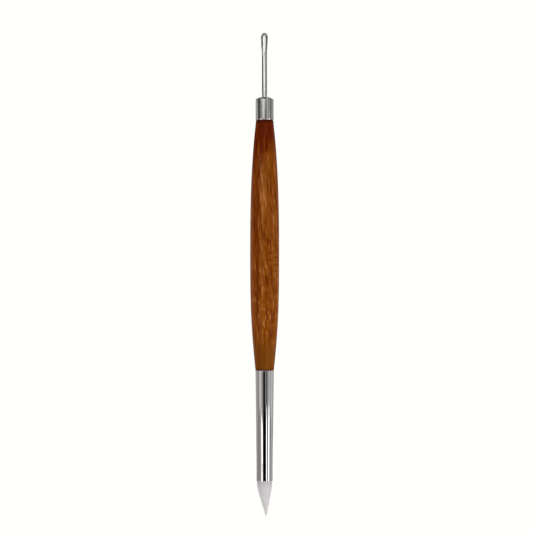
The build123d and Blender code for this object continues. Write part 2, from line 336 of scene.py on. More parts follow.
def build_handle():
    barrel = levels(handle_points, SHOULDER_LOW + 0.01 * MM, SHOULDER_TOP - 0.01 * MM)
    barrel = barrel[barrel[:, 1] > FERRULE_TOP_R * 0.94]
    low, high = barrel[0, 0], barrel[-1, 0]
    heights = np.linspace(low + 0.02 * MM, high - 0.02 * MM, int((high - low) / BARREL_STEP))
    side = [(float(r), float(z)) for r, z in zip(curve(barrel, heights), heights)]
    low_r, top_r = side[0][0], side[-1][0]
    foot = filleted([
        (0, HANDLE_LOW.z, 0),
        (SPIGOT_END_R - 0.3 * MM, HANDLE_LOW.z, 0.2 * MM),
        (SPIGOT_END_R, HANDLE_LOW.z + 0.4 * MM, 0.3 * MM),
        (SPIGOT_LOW_R, SHOULDER_LOW, 0.0),
        (low_r - HANDLE_EDGE, SHOULDER_LOW, 0.0),
    ])
    head = filleted([
        (top_r - HANDLE_EDGE, SEAT_TOP, 0.0),
        (SPIGOT_TOP_R, SEAT_TOP, 0.0),
        (SPIGOT_TOP_R, HANDLE_HIGH.z - 0.2 * MM, 0.3 * MM),
        (SPIGOT_TOP_R - 0.3 * MM, HANDLE_HIGH.z, 0.15 * MM),
        (BORE_R, HANDLE_HIGH.z, 0.05 * MM),
        (BORE_R, BORE_END, 0.1 * MM),
        (0, BORE_END, 0),
    ])
    outline = spaced(foot, step=1.2 * MM)
    outline += shoulder_corner(low_r, SHOULDER_LOW, up=1)
    outline += side
    outline += reversed(shoulder_corner(top_r, SEAT_TOP, up=-1))
    outline += spaced(head, step=1.2 * MM)
    return turned("turned_handle", outline, count=208, shape=hand_finished)


# ---------------------------------------------------------------- collar
COLLAR_WALL = 0.31 * MM
COLLAR_ROLL = 0.60 * MM     # radius the mouth is rolled in with


def build_collar():
    """A thin cap: rolled-in mouth at the bottom, straight wall, cone, rod hole."""
    rows = levels(corners("collar"))
    radius = COLLAR_HIGH.x
    mouth, top = COLLAR_LOW.z, COLLAR_HIGH.z
    shoulder = rows[rows[:, 1] > radius - 1e-6, 0].max()
    flat = rows[-1, 1]
    hole = ROD_HIGH.y + 0.04 * MM
    inner = radius - COLLAR_WALL
    angles = [math.radians(q) for q in range(66, -1, -6)]
    roll = [(radius - COLLAR_ROLL * (1 - math.cos(q)),
             mouth + COLLAR_ROLL * (math.sin(angles[0]) - math.sin(q)), 0.0) for q in angles]
    outline = filleted([
        (inner, mouth + 0.50 * MM, 0.05 * MM),
        (roll[0][0] - 0.04 * MM, mouth + 0.03 * MM, 0.02 * MM),
        *roll,
        (radius, shoulder + 0.06 * MM, 0.20 * MM),
        (radius - 0.30 * MM, shoulder + 0.22 * MM, 0.45 * MM),
        (flat + 0.30 * MM, top - 0.05 * MM, 0.5 * MM),
        (hole + 0.14 * MM, top, 0.12 * MM),
        (hole, top - 0.10 * MM, 0.06 * MM),
        (hole, top - 0.62 * MM, 0.05 * MM),
        (inner - 0.1 * MM, shoulder - 0.45 * MM, 0.2 * MM),
        (inner, shoulder - 0.75 * MM, 0.2 * MM),
    ], closed=True)
    outline = spaced(outline, step=0.28 * MM, closed=True, hold=0.03 * MM)
    return turned("nickel_collar", outline, count=144, closed=True)


# ---------------------------------------------------------------- ferrule
FERRULE_WALL = 0.29 * MM
FERRULE_SEAT = SHOULDER_LOW - 0.02 * MM     # its top, just under the handle's shoulder


def build_ferrule():
    """A tapered tube, parallel at its lower end."""
    rows = levels(corners("long_ferrule"))
    bottom, top_r = FERRULE_LOW.z, FERRULE_TOP_R
    low_r = rows[rows[:, 0] < bottom + 1.0 * MM, 1].max()
    taper_start = next(z for (z, r), (_, next_r) in zip(rows, rows[1:])
                       if abs(r - low_r) < 3e-6 and abs(next_r - r) > 3e-6)
    outline = filleted([
        (top_r - FERRULE_WALL, FERRULE_SEAT - 0.02 * MM, 0.05 * MM),
        (rows[-1, 1] + 0.04 * MM, FERRULE_SEAT, 0.05 * MM),
        (top_r + 0.004 * MM, FERRULE_SEAT - 0.08 * MM, 0.08 * MM),
        (low_r, taper_start, 120 * MM),
        (low_r, bottom + 0.11 * MM, 0.14 * MM),
        (low_r - 0.10 * MM, bottom, 0.06 * MM),
        (low_r - FERRULE_WALL, bottom + 0.02 * MM, 0.05 * MM),
        (low_r - FERRULE_WALL, taper_start, 20 * MM),
    ], closed=True)

    def rippled(x, y, z, r):
        """Faint long ripples, so that reflections aren't ruler-straight."""
        if r < low_r - 0.08 * MM:
            return 0.0
        ease = max(0.0, min(1.0, (z - bottom) / (2 * MM), (FERRULE_HIGH.z - z) / (2 * MM)))
        return swell(x / MM * 0.42, y / MM * 0.42, z / MM * 0.11) * 0.0030 * MM * ease

    outline = spaced(outline, step=0.7 * MM, closed=True, hold=0.05 * MM)
    return turned("chrome_ferrule", outline, count=160, closed=True, shape=rippled)


# ---------------------------------------------------------------- scoop and rod, in mm
SCOOP_HALF = ROD_HIGH.x / MM    # half the scoop's greatest width
# depth below the crown, share of SCOOP_HALF, half thickness
SCOOP = np.array([
    (0.00, 0.079, 0.100),
    (0.08, 0.379, 0.300),
    (0.28, 0.665, 0.410),
    (0.60, 0.881, 0.465),
    (1.15, 1.000, 0.505),
    (1.90, 0.994, 0.560),
    (3.30, 0.934, 0.655),
    (5.00, 0.850, 0.760),
    (6.50, 0.782, 0.835),
    (8.10, ROD / SCOOP_HALF, ROD),
    (8.80, ROD / SCOOP_HALF, ROD),
])
# depth below the crown, half width, y of the floor
TROUGH = np.array([
    (0.46, 0.070, -0.430),
    (0.55, 0.250, -0.270),
    (0.70, 0.430, -0.160),
    (0.94, 0.550, -0.125),
    (1.30, 0.578, -0.160),
    (1.90, 0.572, -0.230),
    (3.30, 0.535, -0.400),
    (5.00, 0.450, -0.610),
    (6.50, 0.310, -0.790),
    (7.30, 0.140, -0.880),
])
TROUGH_X = -0.045   # the trough's middle
ROD_X = -0.03       # the rod's middle
CROWN_LEAN = -0.035     # how much farther left the crown is
ROD_STEP = 0.75
ROD_SIDES = 180
ROD_COS, ROD_SIN = around(ROD_SIDES)


def smoothed(t):
    return t * t * (3 - 2 * t)


def press_trough(x, y, depth, thickness):
    """Lifts the front of a section (-Y) to the trough's floor, with soft rims."""
    width = float(curve(TROUGH, depth))
    floor = float(curve(TROUGH, depth, column=2))
    mouth = -thickness - 0.03
    inside = np.clip(1 - np.abs((x - TROUGH_X) / width) ** 3.4, 0, None)
    trough = mouth + (floor - mouth) * np.sqrt(inside)
    soft = 0.035 - 0.025 * smoothed(min(1.0, max(0.0, (depth - 5.6) / 0.8)))
    gap = y - trough
    lifted = ((y + trough + np.sqrt(gap**2 + soft**2)) / 2
              - soft**2 / (4 * np.maximum(np.abs(gap), soft)))
    fade = np.clip((width * 1.25 - np.abs(x - TROUGH_X)) / (width * 0.25), 0, 1)
    return np.where(ROD_SIN < 0, y + (np.maximum(lifted, y) - y) * fade, y)


def rod_section(z):
    """x and y of one section of the rod or scoop at height z."""
    depth = CROWN - z
    if depth >= SCOOP[-1, 0]:
        return ROD * ROD_COS + ROD_X, ROD * ROD_SIN
    half_width = float(curve(SCOOP, depth)) * SCOOP_HALF
    thickness = float(curve(SCOOP, depth, column=2))
    x, y = half_width * ROD_COS, thickness * ROD_SIN
    # the left rim is a little wider halfway down
    bulge = 0.085 * math.exp(-(((depth - 5.0) / 1.60) ** 2))
    x = x - bulge * smoothed(np.clip(-x / half_width, 0, 1))
    if TROUGH[0, 0] < depth < TROUGH[-1, 0]:
        y = press_trough(x, y, depth, thickness)
    lean = smoothed(min(1.0, (SCOOP[-1, 0] - depth) / 3.6))
    return x + ROD_X + CROWN_LEAN * lean, y


def build_rod():
    end = ROD_LOW.z / MM
    heights = [end + 0.25 + k * ROD_STEP
               for k in range(int((CROWN - 9.2 - end - 0.25) / ROD_STEP) + 1)]
    heights += list(np.linspace(CROWN - 9.0, CROWN - 1.3, 100))
    heights += list(CROWN - 1.3 * (1 - np.sin(np.linspace(0, math.pi / 2, 34)[1:])))
    # the lower end: a flat disc with a softened edge
    disc = [(0.0, end), (ROD * 0.35, end), (ROD - 0.30, end),
            (ROD - 0.22, end + 0.02), (ROD - 0.04, end + 0.20)]
    sections = [(r * ROD_COS + ROD_X, r * ROD_SIN, z) for r, z in disc]
    for z in heights:
        z = min(z, CROWN - 0.0005)
        sections.append((*rod_section(z), z))
    sections.append((0 * ROD_COS + ROD_X + CROWN_LEAN, 0 * ROD_COS, CROWN))
    rings = [np.stack([x, y, np.full(ROD_SIDES, z)], 1) for x, y, z in sections]
    return tube_mesh("scoop_and_rod", np.array(rings) * MM)


# ---------------------------------------------------------------- silicone point
TIP_SIDES = 112
TIP_BLUNT = 0.22 * MM       # height of the soft blunt end
TIP_EDGE = 0.09 * MM        # rounding of the cone's upper edge
TIP_SHIFT = -0.035 * MM     # the cone sits a little to the left


def tip_profile():
    """Rows of (radius, height, middle x), from the point up to the hidden shank's end."""
    cone = TIP_ROWS[TIP_ROWS[:, 0] <= TIP_SHOULDER + 1e-6]
    low, high = cone[0, 0], cone[-1, 0]
    heights = low + (high - low) * (1 - np.cos(np.linspace(0.03, math.pi / 2, 110)))
    heights = np.unique(np.concatenate([heights, np.linspace(low, high - 0.25 * MM, 60)]))
    rows = [(0.0, TIP_LOW.z, cone[0, 2])]
    for z in heights[heights < high - 0.10 * MM]:
        radius = float(curve(cone, z))
        near = (z - TIP_LOW.z) / TIP_BLUNT
        if near < 1:
            radius = float(curve(cone, TIP_LOW.z + TIP_BLUNT)) * math.sqrt(1 - (1 - near) ** 2)
        rows.append((radius, float(z), float(curve(cone, z, column=2)) + TIP_SHIFT))
    for k in range(7):
        t = math.pi / 2 * k / 6
        rows.append((cone[-1, 1] - TIP_EDGE * (1 - math.cos(t)),
                     high - TIP_EDGE * (1 - math.sin(t)), 0.0))
    rows += [(SHANK_R + 0.02 * MM, TIP_SHOULDER, 0.0),
             (SHANK_R, TIP_SHOULDER + 0.02 * MM, 0.0),
             (SHANK_R, TIP_SHOULDER + 0.15 * MM, 0.0)]
    shank = TIP_HIGH.z - 0.45 * MM - TIP_SHOULDER
    rows += [(SHANK_R, TIP_SHOULDER + shank * k / 13, 0.0) for k in range(1, 14)]
    for k in range(1, 8):
        t = math.pi / 2 * k / 7
        rows.append((SHANK_R - 0.35 * MM * (1 - math.cos(t)),
                     TIP_HIGH.z - 0.40 * MM + 0.40 * MM * math.sin(t), 0.0))
    return rows + [(SHANK_R * 0.5, TIP_HIGH.z, 0.0), (0.0, TIP_HIGH.z, 0.0)]


def build_tip():
    cosines, sines = around(TIP_SIDES)
    profile = tip_profile()
    rings = np.zeros((len(profile), TIP_SIDES, 3))
    for i, (r, z, middle) in enumerate(profile):
        radii = np.full(TIP_SIDES, r)
        if 0.3 * MM < r and z < TIP_SHOULDER - 0.2 * MM:
            # soft swell, and a faint parting line on the left and the right
            seam = np.exp(-((sines / 0.035) ** 2)) * 0.008
            soft = swell(r * cosines / MM * 0.7, r * sines / MM * 0.7, z / MM * 0.35) * 0.014
            radii = radii + (soft + seam) * MM * min(1.0, (TIP_SHOULDER - z) / (1.5 * MM))
        rings[i, :, 0], rings[i, :, 1], rings[i, :, 2] = middle + radii * cosines, radii * sines, z
    return tube_mesh("silicone_point", rings)


# ---------------------------------------------------------------- shader building
class Value:
    """A shader output. Each + - * or method call adds nodes to its tree."""

    def __init__(self, tree, socket):
        self.tree = tree
        self.socket = socket

    def __add__(self, other):
        return self.tree.math("ADD", self, other)

    def __sub__(self, other):
        return self.tree.math("SUBTRACT", self, other)

    def __rsub__(self, other):
        return self.tree.math("SUBTRACT", other, self)

    def __mul__(self, other):
        return self.tree.math("MULTIPLY", self, other)

    def __abs__(self):
        return self.tree.math("ABSOLUTE", self)

    def step(self, start, end, first=0.0, last=1.0, smooth=True):
        """first up to start, last from end, a way between. start may be above end."""
        if not isinstance(start, Value) and start > end:
            start, end, first, last = end, start, last, first
        return self.tree.put(
            "ShaderNodeMapRange",
            {"Value": self, "From Min": start, "From Max": end, "To Min": first, "To Max": last},
            interpolation_type="SMOOTHSTEP" if smooth else "LINEAR")

    def near(self, centre, half):
        """1 at centre, falling smoothly to 0 at half away."""
        return abs(self - centre).step(0.0, half, first=1.0, last=0.0)

    def scaled(self, by):
        return self.tree.put("ShaderNodeVectorMath", {0: self, 1: by}, operation="MULTIPLY")

    def shifted(self, by):
        return self.tree.put("ShaderNodeVectorMath", {0: self, 1: by}, operation="ADD")

    def noise(self, scale=1.0, detail=2.0, rough=0.5, distort=0.0):
        return self.tree.put("ShaderNodeTexNoise", {
            "Vector": self, "Scale": scale, "Detail": detail, "Roughness": rough,
            "Distortion": distort})

    def grain(self, across, along, **settings):
        """Noise with one frequency across the tool and another along Z."""
        return self.scaled((across, across, along)).noise(**settings)

    def ramp(self, stops):
        """Colours, or greys as numbers, from (position, colour) stops."""
        node = self.tree.add("ShaderNodeValToRGB", {0: self})
        elements = node.color_ramp.elements
        while len(elements) > 1:
            elements.remove(elements[-1])
        for k, (position, colour) in enumerate(stops):
            if not hasattr(colour, "__len__"):
                colour = (colour,) * 3
            item = elements[0] if k == 0 else elements.new(position)
            item.position = position
            item.color = (*colour, 1.0)
        return Value(self.tree, node.outputs[0])

    def split(self):
        node = self.tree.add("ShaderNodeSeparateXYZ", {0: self})
        return [Value(self.tree, socket) for socket in node.outputs]


class Tree:
    """The emptied node tree of a material or world. Inputs are numbers or Values."""

    def __init__(self, owner):
        owner.use_nodes = True
        self.tree = owner.node_tree
        self.tree.nodes.clear()

    def add(self, kind, inputs, **settings):
        node = self.tree.nodes.new(kind)
        for key, value in settings.items():
            setattr(node, key, value)
        for key, value in inputs.items():
            socket = node.inputs[key]
            if isinstance(value, Value):
                self.tree.links.new(value.socket, socket)
            else:
                socket.default_value = (*value, 1.0) if socket.type == "RGBA" else value
        return node

    def put(self, kind, inputs={}, output=0, **settings):
        """Adds a node and gives back one of its outputs."""
        return Value(self, self.add(kind, inputs, **settings).outputs[output])

    def math(self, operation, *values):
        return self.put("ShaderNodeMath", dict(enumerate(values)), operation=operation)

    def mix(self, share, first, second):
        """Two colours mixed."""
        return self.put("ShaderNodeMix", {0: share, 6: first, 7: second}, 2, data_type="RGBA")

    def blend(self, share, first, second):
        """Two numbers mixed."""
        return self.put("ShaderNodeMix", {0: share, 2: first, 3: second}, data_type="FLOAT")

    def bump(self, height, strength, distance):
        return self.put("ShaderNodeBump", {
            "Strength": strength, "Distance": distance, "Height": height})

    def position(self):
        """Object coordinates in millimetres."""
        return self.put("ShaderNodeTexCoord", output="Object").scaled((1000.0, 1000.0, 1000.0))

    def principled(self, inputs):
        shader = self.put("ShaderNodeBsdfPrincipled", inputs)
        self.add("ShaderNodeOutputMaterial", {"Surface": shader})


def new_material(name):
    made = bpy.data.materials.new(name)
    return made, Tree(made)


def linear(*srgb):
    """An sRGB colour out of 255 as linear numbers."""
    shares = [c / 255 for c in srgb]
    return tuple(c / 12.92 if c <= 0.04045 else ((c + 0.055) / 1.055) ** 2.4 for c in shares)


ROOM = 0.57     # how much of a matt colour the studio light gives back


def seen_as(*srgb):
    """The matt colour that looks like this sRGB colour in the studio light."""
    return tuple(min(0.95, max(0.0, c / ROOM - 0.003)) for c in linear(*srgb))


# ---------------------------------------------------------------- wood
# figure value, sRGB colour as seen
DARK_END = [(0.05, (64, 12, 0)), (0.30, (80, 22, 0)), (0.52, (96, 33, 0)),
            (0.80, (122, 54, 10)), (1.0, (134, 68, 20))]
GOLDEN = [(0.02, (84, 26, 0)), (0.25, (105, 45, 0)), (0.48, (122, 63, 4)),
          (0.72, (140, 79, 24)), (0.98, (168, 106, 58))]
RED = [(0.05, (82, 26, 0)), (0.40, (106, 42, 2)), (0.65, (124, 60, 13)), (1.0, (142, 80, 31))]
FOOT = [(0.05, (84, 34, 0)), (0.45, (108, 58, 9)), (0.80, (128, 76, 26)), (1.0, (140, 88, 38))]
GROWTH_LINE = seen_as(82, 26, 0)
PORE = seen_as(60, 16, 0)
# colour of the painted sheen down the wood's left side
PAINTED_SHEEN_COLOUR = seen_as(148, 100, 70)
# colours of the painted shade on the wood next to the collar and the ferrule
SHADE_BY_COLLAR = seen_as(48, 10, 0)
SHADE_BY_FERRULE = seen_as(62, 30, 6)
GRAIN_TWIST = 0.020     # radians per mm that the grain winds round the barrel


def stained(figure, stops):
    return figure.ramp([(position, seen_as(*srgb)) for position, srgb in stops])


def make_wood():
    """Lacquered hardwood: red-brown by the collar, golden below. Lengths are in mm."""
    made, tree = new_material("lacquered_hardwood")
    spot = tree.position()
    x, y, z = spot.split()
    angle = tree.math("ARCTAN2", x, y * -1.0)   # 0 in front, + to the right, radians
    turn = z * GRAIN_TWIST
    cosine, sine = tree.math("COSINE", turn), tree.math("SINE", turn)
    wound = tree.put("ShaderNodeCombineXYZ", {
        0: x * cosine - y * sine, 1: x * sine + y * cosine, 2: z})

    def part(across, along, offset, detail=1.0, **settings):
        """Noise about zero (mostly within 0.3), drawn out along the grain."""
        return wound.shifted(offset).grain(across, along, detail=detail, **settings) - 0.5

    # the figure, each layer with its weight
    broad = part(0.45, 0.030, offset=(3.0, 8.0, 50.0), detail=2.0)
    streaks = part(1.30, 0.095, offset=(17.0, 4.0, 0.0), detail=2.0, rough=0.6, distort=0.15)
    fibre = part(2.60, 0.26, offset=(5.0, 21.0, 30.0), detail=1.5, rough=0.55)
    fine = part(6.5, 0.55, offset=(3.0, 9.0, 40.0), detail=2.0, rough=0.6)
    figure = (broad * 0.25 + streaks * 1.45) + (fibre * 1.15 + fine * 0.50)

    # painted highlight: a pale band just left of the front, where the lacquer shows a soft
    # highlight
    swayed = x + part(0.20, 0.045, offset=(9.0, 2.0, 6.0)) * 2.2
    painted_highlight_band = swayed.near(centre=-0.55, half=1.25) * z.step(start=46.0, end=36.0)
    painted_highlight_band = painted_highlight_band * tree.blend(z.near(centre=28.0, half=16.0), 0.08, 0.34)
    # short light flecks over the lower belly
    fleck = part(1.75, 0.42, offset=(23.0, 1.0, 3.0), detail=1.5).step(start=0.05, end=0.22)
    fleck = fleck * (z.near(centre=-12.0, half=18.0) * 0.60 + 0.06)
    # faint cross-figure on the belly, towards the right
    cross = part(0.30, 1.15, offset=(2.0, 2.0, 12.0)) * (
        z.near(centre=4.0, half=15.0) * x.step(start=-1.5, end=1.5))
    # the figure, with the painted highlight band, the flecks and the cross-figure added
    figure = (figure + 0.47) + (painted_highlight_band + (fleck + cross * 0.9))
    # quieter at both ends
    quiet = z.step(start=41.0, end=50.0, last=0.45) + z.step(start=-20.0, end=-27.0, last=0.45)
    figure = tree.blend(quiet, figure, 0.47)

    dark_end, golden, red = (stained(figure, stops) for stops in (DARK_END, GOLDEN, RED))
    foot = stained(figure + (x * 0.035 - 0.05), FOOT)
    # the change from red-brown climbs higher along some fibres and on the right
    climb = part(0.95, 0.040, offset=(11.0, 2.0, 0.0), detail=2.0, rough=0.55) * 20.0
    climb = climb + tree.math("SINE", angle) * 3.0
    below_dark = (z - climb).step(start=47.5, end=34.0)
    # redder down the left
    red_side = swayed.step(start=-1.4, end=-3.0) * (
        z.step(start=44.0, end=38.0) * z.step(start=-26.0, end=-8.0, first=0.25))
    colour = tree.mix(z.step(start=-19.0, end=-27.0), tree.mix(red_side * 0.70, golden, red), foot)
    colour = tree.mix(below_dark, dark_end, colour)
    # one strong dark growth line left of centre, and a weaker one at the right
    wander = part(0.10, 0.085, offset=(0.0, 3.0, 9.0)) * 1.3
    line = (x + wander + 2.45).near(centre=0.0, half=0.62)
    line = (line * y.step(start=0.0, end=-1.0)) * (
        z.step(start=40.0, end=30.0) * z.step(start=-24.0, end=-8.0))
    right_line = (swayed + -2.15).near(centre=0.0, half=0.45) * (
        z.near(centre=20.0, half=34.0) * 0.45)
    line = tree.math("MAXIMUM", line, right_line) * (fibre * 1.2 + 0.62)
    colour = tree.mix(line, colour, GROWTH_LINE)
    # open pores: thin dark dashes
    pores = part(6.0, 0.50, offset=(1.0, 6.0, 70.0)).step(start=0.15, end=0.24)
    colour = tree.mix(pores * 0.45, colour, PORE)
    # painted sheen: paler down the left side, where the lacquer would reflect the room
    painted_sheen_left = angle.near(centre=-1.40, half=0.62) * z.step(start=40.0, end=22.0, first=0.3)
    colour = tree.mix(painted_sheen_left * tree.blend(broad + 0.5, 0.24, 0.44), colour, PAINTED_SHEEN_COLOUR)
    # painted shade: darker at the very edges by the collar and the ferrule, where they shade the
    # wood
    colour = tree.mix(z.step(start=51.2, end=52.2, last=0.7), colour, SHADE_BY_COLLAR)
    colour = tree.mix(z.step(start=-31.9, end=-32.6, last=0.6), colour, SHADE_BY_FERRULE)

    relief = fibre * 0.8 + (fine * 0.5 + pores * -0.6)
    peel = spot.noise(scale=1.6) + pores * -0.6
    tree.principled({
        "Base Color": colour,
        "IOR": 1.45,
        "Specular IOR Level": 0.02,
        "Roughness": tree.blend(fibre + 0.5, 0.45, 0.60),
        "Coat Weight": 0.18,
        "Coat IOR": 1.5,
        "Coat Roughness": spot.noise(scale=0.6).step(start=0.3, end=0.7, first=0.08, last=0.15),
        "Normal": tree.bump(relief, strength=0.30, distance=0.00003),
        "Coat Normal": tree.bump(peel, strength=0.20, distance=0.00002),
    })
    return made


# ---------------------------------------------------------------- other materials
def make_chrome():
    """Mirror plating with faint clouds, smudges and hairlines."""
    made, tree = new_material("mirror_chrome")
    spot = tree.position()
    cloud = spot.grain(across=0.35, along=0.12, detail=3.0, rough=0.6)
    smudge = spot.shifted((5.0, 0.0, 9.0)).noise(scale=0.55, detail=4.0, rough=0.6)
    hair = spot.grain(across=26.0, along=0.45)
    tree.principled({
        "Base Color": tree.mix(cloud.step(start=0.3, end=0.7),
                               (0.80, 0.795, 0.785), (0.745, 0.745, 0.74)),
        "Metallic": 1.0,
        "Roughness": smudge.step(start=0.42, end=0.75, first=0.022, last=0.075)
        + hair.step(start=0.60, end=0.72, last=0.03),
        "Normal": tree.bump(hair * 0.5 + smudge * 0.5, strength=0.10, distance=0.000002),
    })
    return made


def make_nickel():
    """Nickel with turning lines; at the collar's mouth a painted reflection of the red wood and,
    at its very edge, painted shade.
    """
    made, tree = new_material("turned_nickel")
    spot = tree.position()
    lines = spot.grain(across=0.25, along=17.0, detail=3.0, rough=0.65)
    wear = spot.shifted((2.0, 8.0, 0.0)).noise(scale=0.9, detail=3.0, rough=0.6)
    plate = tree.mix(wear.step(start=0.35, end=0.7), (0.637, 0.637, 0.597), (0.58, 0.58, 0.54))
    mouth = COLLAR_LOW.z / MM
    # painted reflection of the red wood in a pink band, then painted shade in a dark band at the
    # very mouth; start and end above the mouth, share, colour
    for start, end, share, colour in ((1.25, 0.65, 0.75, (0.66, 0.565, 0.545)),
                                      (0.36, 0.22, 0.85, (0.36, 0.285, 0.265))):
        painted_reflection_band = spot.split()[2].step(start=mouth + start, end=mouth + end, last=share)
        plate = tree.mix(painted_reflection_band, plate, colour)
    tree.principled({
        "Base Color": plate,
        "Metallic": 1.0,
        "Roughness": wear.step(start=0.35, end=0.75, first=0.03, last=0.07) + lines * 0.04,
        "Normal": tree.bump(lines, strength=0.10, distance=0.000001),
    })
    return made


def make_steel():
    """Steel with lines along Z, darker at the crown."""
    made, tree = new_material("drawn_steel")
    spot = tree.position()
    lines = spot.grain(across=16.0, along=0.35, detail=3.0, rough=0.6)
    mottle = spot.noise(scale=1.1, detail=3.0, rough=0.6)
    steel = tree.mix(mottle.step(start=0.35, end=0.7), (0.768, 0.775, 0.72), (0.705, 0.71, 0.66))
    crown = spot.split()[2].step(start=CROWN - 1.1, end=CROWN - 0.7)
    tree.principled({
        "Base Color": tree.mix(crown, steel, (0.40, 0.395, 0.385)),
        "Metallic": 1.0,
        "Roughness": mottle.step(start=0.4, end=0.75, first=0.035, last=0.07) + lines * 0.03,
        "Normal": tree.bump(lines, strength=0.06, distance=0.000001),
    })
    return made


def make_silicone():
    """Milky white with dust, and painted shade: greyer towards the left and just under the
    shoulder.
    """
    made, tree = new_material("white_silicone")
    spot = tree.position()
    milk = spot.grain(across=0.55, along=0.4, detail=3.0, rough=0.6)
    dust = spot.shifted((4.0, 1.0, 2.0)).noise(scale=7.0)
    base = tree.mix(milk.step(start=0.35, end=0.68), (0.93, 0.89, 0.90), (0.87, 0.835, 0.85))
    # painted shade: greyer towards the left
    left = spot.split()[0].step(start=1.6, end=-2.4, last=0.30)
    base = tree.mix(left, base, (0.54, 0.515, 0.525))
    base = tree.mix(dust.step(start=0.62, end=0.74) * 0.30, base, (0.42, 0.39, 0.41))
    shoulder = TIP_SHOULDER / MM
    # painted shade just under the shoulder, where the ferrule shades the point
    top = spot.split()[2].step(start=shoulder - 1.6, end=shoulder, last=0.16)
    base = tree.mix(top, base, (0.50, 0.47, 0.48))
    relief = milk * 0.5 + spot.noise(scale=9.0, detail=3.0) * 0.5
    tree.principled({
        "Base Color": base,
        "Subsurface Weight": 0.12,
        "Subsurface Radius": (1.0, 0.85, 0.8),
        "Subsurface Scale": 0.0006,
        "IOR": 1.41,
        "Roughness": milk.step(start=0.3, end=0.7, first=0.38, last=0.52),
        "Normal": tree.bump(relief, strength=0.20, distance=0.00004),
    })
    return made


def make_glue():
    made, tree = new_material("cured_adhesive")
    spot = tree.position()
    cure = spot.noise(scale=1.7, detail=3.0, rough=0.6)
    tree.principled({
        "Base Color": tree.mix(cure.step(start=0.3, end=0.7),
                               (0.030, 0.010, 0.004), (0.085, 0.032, 0.010)),
        "Roughness": cure.step(start=0.3, end=0.7, first=0.22, last=0.42),
        "Normal": tree.bump(spot.noise(scale=5.0), strength=0.4, distance=0.00005),
    })
    return made


# ---------------------------------------------------------------- studio light
PAPER = linear(255, 255, 251)
TOP = 2.0           # brightness of a full ramp
BENCH_TOP = 4.0     # the same for the brighter bench
# Each wall is a left and a right list of (azimuth, brightness) corners. Azimuth is in
# degrees, 0 at the camera and + to the right.
# below the tool's level: white cards with black gaps, the widest gap at the camera
LOW_WALL = (
    [(-180, .05), (-152, .05), (-138, .26), (-124, .37), (-108, .38), (-97, .24), (-88, .20),
     (-78, .33), (-70, .27), (-62, .32), (-54, .42), (-49, .80), (-44, 1.40), (-36, 1.64),
     (-29, 1.72), (-26.6, .85), (-24, .02), (-20, 0), (0, 0)],
    [(0, 0), (20.2, 0), (21.6, 1.40), (23.4, 1.95), (29, 1.95), (31.5, .80), (33.6, 0),
     (44.8, 0), (48.4, 1.40), (56, 1.62), (68, 1.20), (74, .70), (79, .10), (86, .04),
     (93, .40), (102, .60), (118, .36), (134, .34), (148, .55), (164, .38), (180, .05)],
)
# at the tool's level: grey walls
MID_WALL = (
    [(-180, .04), (-166, .14), (-150, .36), (-124, .42), (-110, .43), (-102, .32), (-94, .20),
     (-86, .27), (-74, .50), (-62, .67), (-54, .70), (-44, .40), (-36, .31), (-27, .30),
     (-20, .14), (-15, 0), (0, 0)],
    [(0, 0), (4, 0), (8, .26), (12, .36), (16, .20), (24, .05), (34, .20), (46, .36),
     (56, .54), (74, .53), (82, .36), (88, .36), (98, .66), (114, .53), (134, .44),
     (150, .31), (166, .10), (180, .04)],
)
# a little above it
HIGH_WALL = (
    [(-180, .04), (-162, .06), (-152, .15), (-138, .50), (-124, .66), (-110, .64), (-102, .40),
     (-94, .15), (-86, .07), (-76, .10), (-66, .15), (-54, .20), (-40, .29), (-30, .44),
     (-20, .80), (-14, .88), (-7, .70), (0, .47)],
    [(0, .47), (5, .34), (10, .18), (16, .08), (22, .15), (28, .45), (34, .72), (40, .60),
     (46, .38), (52, .30), (58, .44), (64, .62), (70, .52), (76, .30), (82, .11), (89, .19),
     (98, .40), (116, .42), (132, .50), (148, .50), (164, .26), (180, .02)],
)
# higher still, where the rod looks
UPPER_WALL = (
    [(-180, 0), (-92, 0), (-70, 0), (-64, .04), (-58, .62), (-51, 1.40), (-43, 1.66),
     (-33, 1.52), (-20, 1.14), (0, .78)],
    [(0, .78), (12, .66), (28, .54), (40, .44), (54, .28), (63, .14), (74, .06), (86, .16),
     (98, .36), (116, .50), (134, .54), (150, .47), (166, .30), (180, .05)],
)
# the lower part of it, with the bright streak farther right
DRIFT_WALL = (
    [(-180, 0), (-92, 0), (-66, 0), (-60, .04), (-53, .60), (-44, 1.02), (-34, 1.26),
     (-22, 1.66), (-10, 1.92), (0, 1.86)],
    [(0, 1.86), (8, 1.52), (16, .92), (28, .50), (42, .34), (56, .24), (66, .12), (76, .06),
     (88, .10), (100, .24), (118, .34), (136, .38), (152, .34), (166, .24), (180, .05)],
)
# where the scoop's rims look
BROW_WALL = (
    [(-180, .04), (-110, .05), (-78, .14), (-44, .17), (-20, .15), (0, .10)],
    [(0, .10), (30, .08), (80, .08), (120, .26), (160, .20), (180, .05)],
)
# how far down the cards' top edges are
CARD_RIM = (
    [(-180, .30), (-60, .30), (-47, .43), (-38, .50), (-31, .64), (-25, .74), (-18, .50),
     (0, .35)],
    [(0, .35), (14, .42), (26, .43), (34, .36), (45, .29), (60, .28), (90, .32), (180, .30)],
)
# overhead softbox
SOFTBOX = (
    [(-180, .10), (-110, .30), (-80, .62), (-50, .76), (-20, .82), (0, .86)],
    [(0, .84), (12, 1.0), (45, 1.0), (80, .75), (110, .30), (180, .10)],
)
